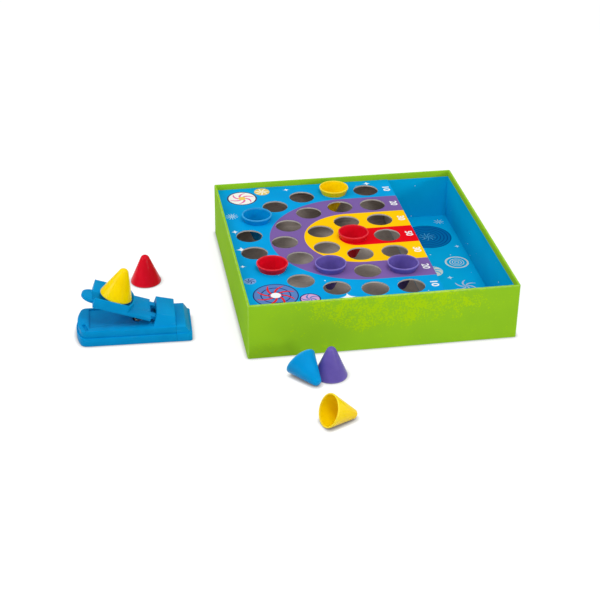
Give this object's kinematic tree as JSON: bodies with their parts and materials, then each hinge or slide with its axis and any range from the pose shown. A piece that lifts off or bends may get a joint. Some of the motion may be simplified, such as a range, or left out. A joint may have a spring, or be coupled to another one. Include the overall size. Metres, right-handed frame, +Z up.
{
  "type": "catapult board game",
  "caption": "Shallow square game box with a raised target board, a well, a spring catapult and hollow plastic cones.",
  "frame": {"origin": "middle of the box's underside, on the table", "axes": "+X to the right of the box seen from the front, where the well is; +Y to the back; +Z up"},
  "size_m": [0.4318, 0.4049, 0.0717],
  "materials": {
    "greyboard": "raw pressed card",
    "green_print": "printed and laminated",
    "blue_print": "printed and laminated",
    "blue_plastic": "moulded, satin",
    "steel": "plain",
    "red_cone": "moulded, glossy",
    "yellow_cone": "moulded, glossy",
    "purple_cone": "moulded, glossy",
    "blue_cone": "moulded, glossy"
  },
  "bodies": {
    "box": {"box_board": "greyboard", "box_wrap": "green_print", "bottom_sheet": "green_print", "well_liner": "blue_print"},
    "board": {"board_insert": "greyboard", "board_print": "blue_print"},
    "catapult": {"catapult_tray": "blue_plastic", "catapult_shell": "blue_plastic", "end_cap": "blue_plastic", "hinge_pin": "steel", "return_spring": "steel", "case_screws": "steel"},
    "arm": {"launch_arm": "blue_plastic"},
    "cone_yellow_loaded": {"cone_yellow_loaded": "yellow_cone"},
    "cone_yellow_back": {"cone_yellow_back": "yellow_cone"},
    "cone_yellow_lying": {"cone_yellow_lying": "yellow_cone"},
    "cone_red_standing": {"cone_red_standing": "red_cone"},
    "cone_red_middle": {"cone_red_middle": "red_cone"},
    "cone_red_left": {"cone_red_left": "red_cone"},
    "cone_purple_standing": {"cone_purple_standing": "purple_cone"},
    "cone_purple_left": {"cone_purple_left": "purple_cone"},
    "cone_purple_right": {"cone_purple_right": "purple_cone"},
    "cone_blue_lying": {"cone_blue_lying": "blue_cone"},
    "cone_blue_left": {"cone_blue_left": "blue_cone"}
  },
  "joints": [
    {"name": "board_lift", "type": "slide", "parent": "box", "child": "board", "axis": [0, 0, 1], "range_m": [0, 0.08]},
    {"name": "catapult_lift", "type": "slide", "parent": "box", "child": "catapult", "axis": [0, 0, 1], "range_m": [0, 0.06]},
    {"name": "arm_hinge", "type": "hinge", "parent": "catapult", "child": "arm", "pos_m": [-0.21421, -0.06722, 0.018], "axis": [-0.0384, -0.9993, 0], "range_deg": [0, 20.5], "stiffness_Nm_per_rad": 0.06, "springref_deg": -28.65, "deforming": ["return_spring"]},
    {"name": "loaded_cone_lift", "type": "slide", "parent": "arm", "child": "cone_yellow_loaded", "axis": [0.3319, -0.0128, 0.9432], "range_m": [0, 0.03]},
    {"name": "cone_yellow_back_lift", "type": "slide", "parent": "board", "child": "cone_yellow_back", "axis": [0, 0, 1], "range_m": [0, 0.04]},
    {"name": "cone_yellow_lying_lift", "type": "slide", "parent": "box", "child": "cone_yellow_lying", "axis": [0, 0, 1], "range_m": [0, 0.04]},
    {"name": "cone_red_standing_lift", "type": "slide", "parent": "box", "child": "cone_red_standing", "axis": [0, 0, 1], "range_m": [0, 0.04]},
    {"name": "cone_red_middle_lift", "type": "slide", "parent": "board", "child": "cone_red_middle", "axis": [0, 0, 1], "range_m": [0, 0.04]},
    {"name": "cone_red_left_lift", "type": "slide", "parent": "board", "child": "cone_red_left", "axis": [0, 0, 1], "range_m": [0, 0.04]},
    {"name": "cone_purple_standing_lift", "type": "slide", "parent": "box", "child": "cone_purple_standing", "axis": [0.6, 0, 0.8], "range_m": [0, 0.04]},
    {"name": "cone_purple_left_lift", "type": "slide", "parent": "board", "child": "cone_purple_left", "axis": [0, 0, 1], "range_m": [0, 0.04]},
    {"name": "cone_purple_right_lift", "type": "slide", "parent": "board", "child": "cone_purple_right", "axis": [0, 0, 1], "range_m": [0, 0.04]},
    {"name": "cone_blue_lying_lift", "type": "slide", "parent": "box", "child": "cone_blue_lying", "axis": [0, 0, 1], "range_m": [0, 0.04]},
    {"name": "cone_blue_left_lift", "type": "slide", "parent": "board", "child": "cone_blue_left", "axis": [0, 0, 1], "range_m": [0, 0.04]}
  ]
}
